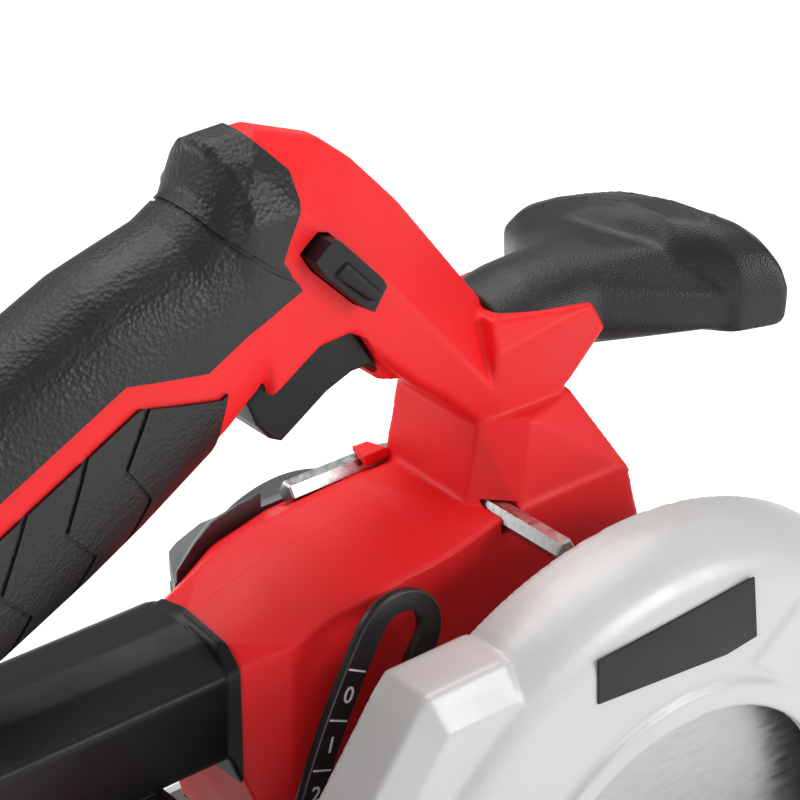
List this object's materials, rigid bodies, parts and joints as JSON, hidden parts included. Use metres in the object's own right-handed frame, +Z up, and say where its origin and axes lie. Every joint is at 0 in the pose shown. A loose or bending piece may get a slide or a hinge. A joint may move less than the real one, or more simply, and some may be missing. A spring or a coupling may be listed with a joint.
{
  "type": "circular saw",
  "caption": "Hand-held circular saw with a closed loop handle, front palm grip, round blade guard, tilting sole plate and slide-in battery.",
  "frame": {"origin": "on the underside of the sole plate, below the blade axis, in the parting plane of the handle", "axes": "+X forward (direction of cut), +Y left, +Z up; the blade is on the right (-Y)"},
  "size_m": [0.3435, 0.158, 0.2745],
  "materials": {
    "red_plastic": "satin moulded",
    "black_rubber": "grained soft-touch",
    "black_plastic": "fine-grained moulded",
    "grey_plastic": "fine-grained moulded",
    "guard_paint": "satin powder coat",
    "label_grey": "semi-gloss film",
    "black_paint": "satin paint",
    "plate_steel": "satin coat",
    "zinc_steel": "zinc plated",
    "bright_steel": "ground",
    "blade_steel": "ground",
    "cast_alloy": "cast",
    "copper": "turned",
    "dark_core": "laminated",
    "board_green": "lacquered",
    "cell_blue": "shrink film"
  },
  "bodies": {
    "base": {"sole_plate": "plate_steel", "bevel_quadrant": "black_paint", "rear_hinge_ear": "black_paint", "base_rivets": "zinc_steel", "fence_clamp": "plate_steel", "bevel_hinge_pins": "zinc_steel"},
    "fence_screw": {"fence_screw": "black_plastic"},
    "bevel_frame": {"bevel_frame": "black_paint", "bevel_lock_bolt": "zinc_steel", "depth_bracket": "black_paint", "depth_pivot_pin": "zinc_steel"},
    "bevel_lever": {"bevel_lever": "black_plastic"},
    "saw_body": {"housing_right": "red_plastic", "housing_left": "red_plastic", "grip_overmould": "black_rubber", "lower_bar_skin": "black_rubber", "front_knob": "black_rubber", "knob_bolt": "zinc_steel", "upper_guard": "guard_paint", "guard_label": "label_grey", "dust_spigot": "black_plastic", "guard_hub": "cast_alloy", "gear_housing": "cast_alloy", "gear_cover": "cast_alloy", "spindle_bearings": "bright_steel", "motor_can": "bright_steel", "field_magnets": "dark_core", "brush_plate": "black_plastic", "carbon_brushes": "dark_core", "rotor_bearings": "bright_steel", "motor_cap": "grey_plastic", "switch_module": "black_plastic", "trigger_spring": "zinc_steel", "control_board": "board_green", "terminal_block": "black_plastic", "depth_clamp_bolt": "zinc_steel", "housing_screws": "zinc_steel", "guard_screws": "zinc_steel", "layshaft": "bright_steel"},
    "depth_lever": {"depth_lever": "black_paint"},
    "spindle": {"spindle_shaft": "bright_steel", "spindle_gear": "bright_steel", "inner_flange": "zinc_steel", "saw_blade": "blade_steel", "outer_flange": "zinc_steel", "blade_bolt": "zinc_steel"},
    "lay_gears": {"lay_gears": "bright_steel"},
    "rotor": {"rotor_shaft": "bright_steel", "armature": "dark_core", "commutator": "copper", "cooling_fan": "black_plastic"},
    "lower_guard": {"lower_guard": "bright_steel"},
    "trigger": {"trigger": "black_plastic"},
    "lock_off_button": {"lock_off_button": "black_plastic"},
    "spindle_lock": {"spindle_lock": "black_plastic"},
    "hex_key": {"hex_key": "zinc_steel"},
    "battery": {"battery_tray": "black_plastic", "battery_lid": "black_plastic", "battery_cells": "cell_blue"},
    "battery_latch": {"battery_latch": "black_plastic"}
  },
  "joints": [
    {"name": "bevel_tilt", "type": "hinge", "parent": "base", "child": "bevel_frame", "pos_m": [0, -0.062, 0.0095], "axis": [1, 0, 0], "range_deg": [0, 45]},
    {"name": "bevel_lever_turn", "type": "hinge", "parent": "bevel_frame", "child": "bevel_lever", "pos_m": [0.12, -0.01877, 0.02523], "axis": [1, 0, 0], "range_deg": [0, 60]},
    {"name": "fence_screw_turn", "type": "hinge", "parent": "base", "child": "fence_screw", "pos_m": [0.108, 0.036, 0.015], "axis": [0, 0, 1], "range_deg": [0, 360]},
    {"name": "depth_swing", "type": "hinge", "parent": "bevel_frame", "child": "saw_body", "pos_m": [0.097, -0.043, 0.014], "axis": [0, 1, 0], "range_deg": [0, 30]},
    {"name": "depth_lever_turn", "type": "hinge", "parent": "saw_body", "child": "depth_lever", "pos_m": [-0.08197, -0.04, 0.01712], "axis": [0, 1, 0], "range_deg": [0, 50]},
    {"name": "blade_spin", "type": "hinge", "parent": "saw_body", "child": "spindle", "pos_m": [0, -0.055, 0.0275], "axis": [0, 1, 0], "continuous": true},
    {"name": "lay_spin", "type": "hinge", "parent": "saw_body", "child": "lay_gears", "pos_m": [-0.0093, -0.034, 0.05471], "axis": [0, 1, 0], "continuous": true},
    {"name": "rotor_spin", "type": "hinge", "parent": "saw_body", "child": "rotor", "pos_m": [-0.027, 0, 0.066], "axis": [0, 1, 0], "continuous": true},
    {"name": "lower_guard_swing", "type": "hinge", "parent": "saw_body", "child": "lower_guard", "pos_m": [0, -0.05, 0.0275], "axis": [0, 1, 0], "range_deg": [0, 115], "stiffness_Nm_per_rad": 0.12, "springref_deg": -51.57},
    {"name": "trigger_pull", "type": "slide", "parent": "saw_body", "child": "trigger", "axis": [-0.4512, 0, 0.8924], "range_m": [0, 0.005], "stiffness_N_per_m": 900, "springref_m": -0.003},
    {"name": "lock_off_push", "type": "slide", "parent": "saw_body", "child": "lock_off_button", "axis": [0, 1, 0], "range_m": [0, 0.003], "stiffness_N_per_m": 600, "springref_m": -0.001},
    {"name": "spindle_lock_push", "type": "slide", "parent": "saw_body", "child": "spindle_lock", "axis": [-1, 0, 0], "range_m": [0, 0.0015], "stiffness_N_per_m": 800, "springref_m": -0.001},
    {"name": "hex_key_pull", "type": "slide", "parent": "saw_body", "child": "hex_key", "axis": [0, 1, 0], "range_m": [0, 0.06]},
    {"name": "battery_slide", "type": "slide", "parent": "saw_body", "child": "battery", "axis": [-1, 0, 0], "range_m": [0, 0.11]},
    {"name": "battery_latch_press", "type": "slide", "parent": "battery", "child": "battery_latch", "axis": [0, 0, -1], "range_m": [0, 0.003], "stiffness_N_per_m": 700, "springref_m": -0.001}
  ],
  "couplings": [
    {"joint": "lay_spin", "follows": "blade_spin", "ratio": -2.2857},
    {"joint": "rotor_spin", "follows": "blade_spin", "ratio": 5.7143}
  ]
}
